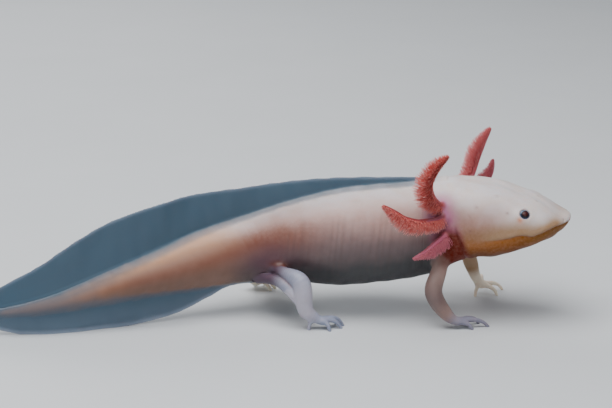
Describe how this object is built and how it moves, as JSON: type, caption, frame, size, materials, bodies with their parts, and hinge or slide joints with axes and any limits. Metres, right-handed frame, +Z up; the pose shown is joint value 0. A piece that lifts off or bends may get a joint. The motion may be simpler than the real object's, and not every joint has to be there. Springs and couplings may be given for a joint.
{
  "type": "axolotl",
  "caption": "Life-size pale axolotl standing still on four legs, with feathery red gills, small dark eyes and a long finned tail laid on the floor.",
  "frame": {"origin": "middle of the model's box in plan, on the floor that the digits and the tail fin rest on", "axes": "+X along the body towards the snout, +Y towards the animal's left, +Z up"},
  "size_m": [0.2332, 0.065, 0.0687],
  "materials": {
    "skin": "moist pale pink skin, smoky blue-grey on the fins",
    "gill": "pink stalks with fine red-orange filaments",
    "eye": "wet dark pupil in a blue-grey ring"
  },
  "bodies": {
    "root": {"head": "skin", "lower_jaw": "skin", "neck": "skin", "trunk_front": "skin", "trunk_rear": "skin", "tail_base": "skin", "tail_mid": "skin", "tail_tip": "skin", "eye_left": "eye", "eye_right": "eye", "dorsal_fin": "skin", "tail_fin_upper": "skin", "tail_fin_lower": "skin", "gill_right_1": "gill", "gill_right_2": "gill", "gill_right_3": "gill", "gill_left_1": "gill", "gill_left_2": "gill", "gill_left_3": "gill", "upper_arm_front_right": "skin", "forearm_front_right": "skin", "hand_front_right": "skin", "upper_arm_front_left": "skin", "forearm_front_left": "skin", "hand_front_left": "skin", "thigh_hind_right": "skin", "shank_hind_right": "skin", "foot_hind_right": "skin", "thigh_hind_left": "skin", "shank_hind_left": "skin", "foot_hind_left": "skin"}
  },
  "joints": []
}
